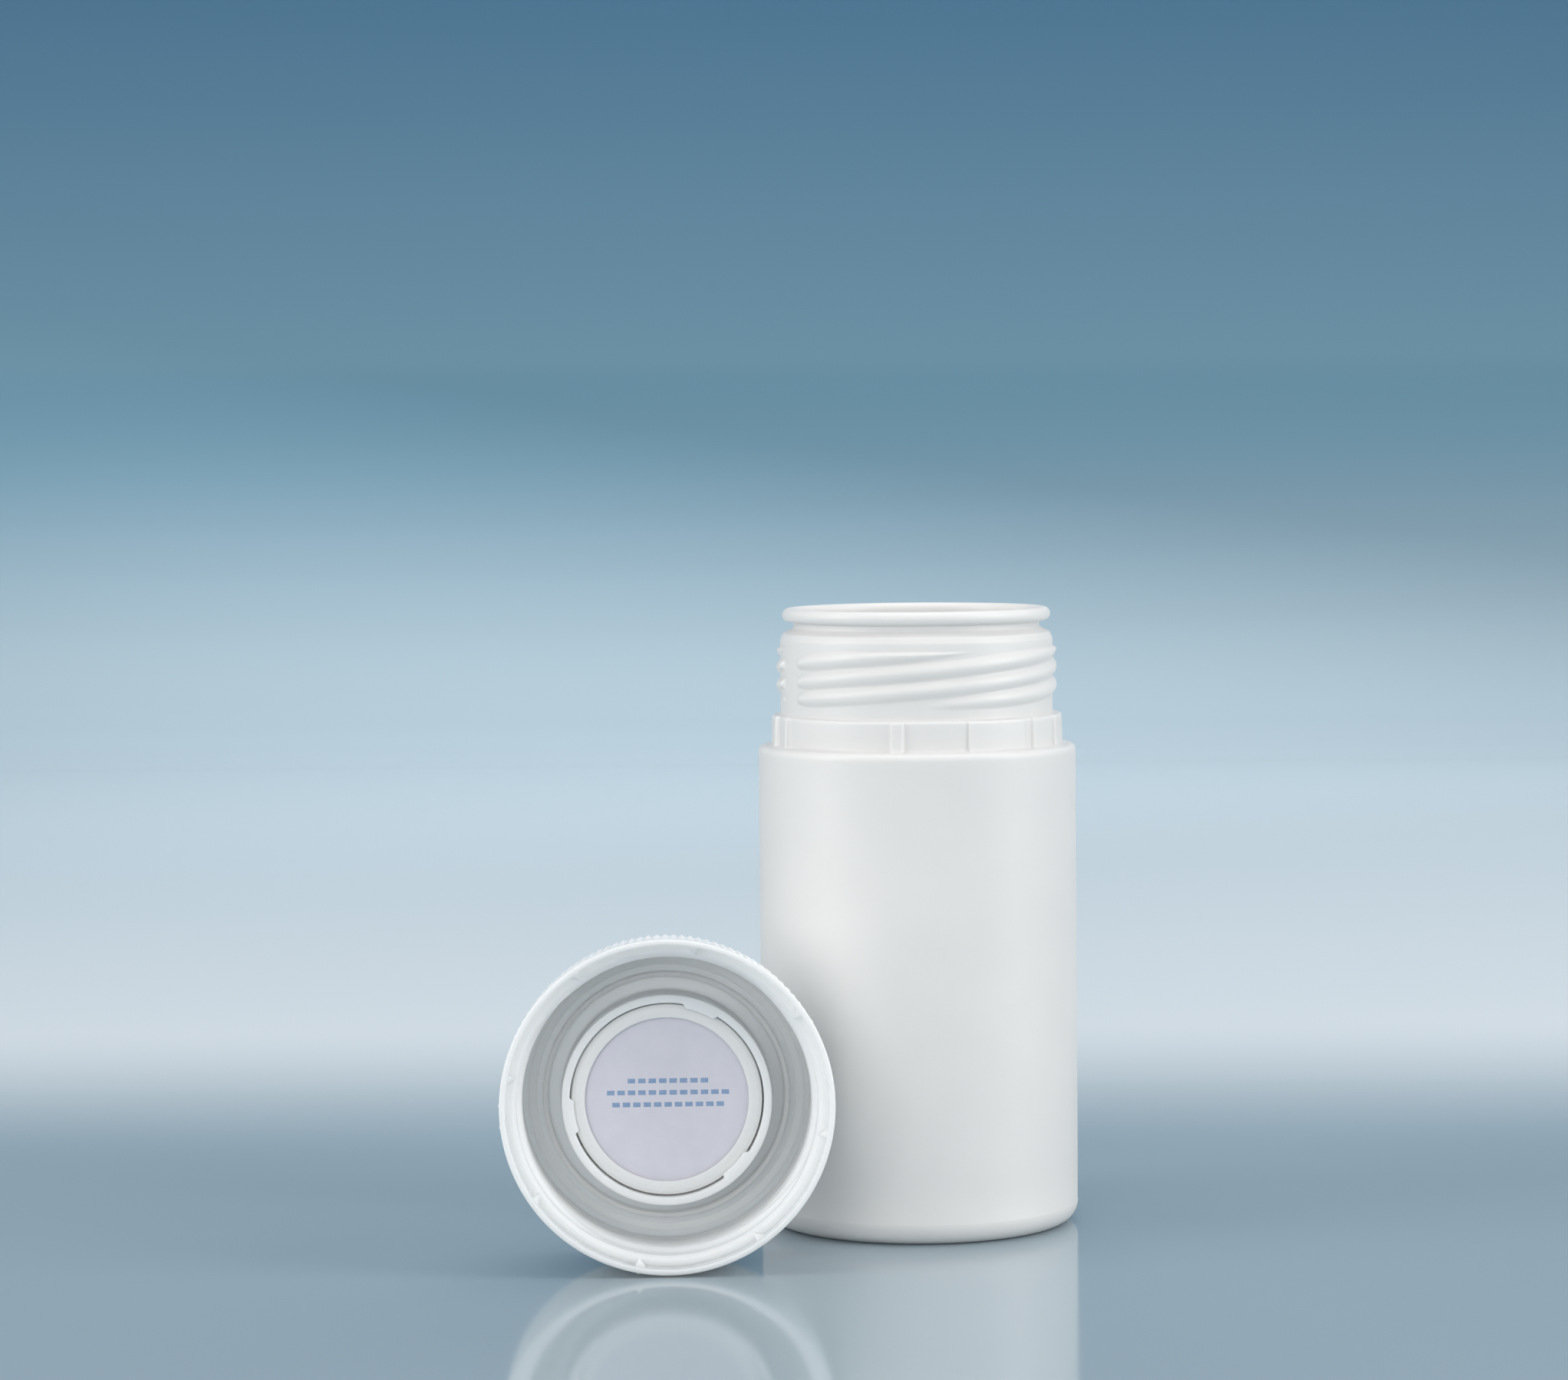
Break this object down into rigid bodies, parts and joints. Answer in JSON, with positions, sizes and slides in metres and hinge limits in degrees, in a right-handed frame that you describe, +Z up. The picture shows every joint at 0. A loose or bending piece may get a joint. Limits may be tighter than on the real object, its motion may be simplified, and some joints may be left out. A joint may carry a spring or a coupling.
{
  "type": "prescription vial",
  "caption": "Wide-mouth plastic tablet container with a screw neck, and its knurled screw closure lying open beside it with a desiccant canister.",
  "frame": {"origin": "on the container's axis, in the plane that it stands on, at the middle of its base", "axes": "+Z up along the container's axis; -Y is the front, where the closure's open end faces"},
  "size_m": [0.0906, 0.0745, 0.099],
  "materials": {
    "container_plastic": "satin white HDPE, slightly translucent",
    "closure_plastic": "satin white polyethylene, translucent where thin",
    "canister_plastic": "smooth white polyethylene",
    "card": "uncoated lilac-grey card with rows of blue print reduced to plain dashes",
    "desiccant": "silica gel beads"
  },
  "bodies": {
    "container": {"container": "container_plastic"},
    "closure_centre": {"desiccant_bead_01": "desiccant"},
    "closure_canister": {"desiccant_canister": "canister_plastic"},
    "closure": {"closure_shell": "closure_plastic", "tamper_ring": "closure_plastic", "card_disc": "card", "desiccant_bead_02": "desiccant", "desiccant_bead_03": "desiccant", "desiccant_bead_04": "desiccant", "desiccant_bead_05": "desiccant", "desiccant_bead_06": "desiccant", "desiccant_bead_07": "desiccant", "desiccant_bead_08": "desiccant", "desiccant_bead_09": "desiccant", "desiccant_bead_10": "desiccant", "desiccant_bead_11": "desiccant", "desiccant_bead_12": "desiccant", "desiccant_bead_13": "desiccant", "desiccant_bead_14": "desiccant", "desiccant_bead_15": "desiccant", "desiccant_bead_16": "desiccant", "desiccant_bead_17": "desiccant", "desiccant_bead_18": "desiccant", "desiccant_bead_19": "desiccant", "desiccant_bead_20": "desiccant", "desiccant_bead_21": "desiccant", "desiccant_bead_22": "desiccant", "desiccant_bead_23": "desiccant", "desiccant_bead_24": "desiccant", "desiccant_bead_25": "desiccant", "desiccant_bead_26": "desiccant", "desiccant_bead_27": "desiccant", "desiccant_bead_28": "desiccant", "desiccant_bead_29": "desiccant", "desiccant_bead_30": "desiccant", "desiccant_bead_31": "desiccant", "desiccant_bead_32": "desiccant", "desiccant_bead_33": "desiccant", "desiccant_bead_34": "desiccant", "desiccant_bead_35": "desiccant", "desiccant_bead_36": "desiccant", "desiccant_bead_37": "desiccant"}
  },
  "joints": [
    {"name": "closure_lift", "type": "slide", "parent": "container", "child": "closure_centre", "axis": [0, 0, 1], "range_m": [0, 0.11]},
    {"name": "closure_tip", "type": "hinge", "parent": "closure_centre", "child": "closure_canister", "pos_m": [-0.03993, -0.03247, 0.02504], "axis": [0.9994, 0.0349, 0], "range_deg": [0, 92.6]},
    {"name": "closure_turn", "type": "hinge", "parent": "closure_canister", "child": "closure", "pos_m": [-0.03993, -0.03247, 0.02504], "axis": [-0.0349, 0.9984, -0.0454], "continuous": true}
  ]
}
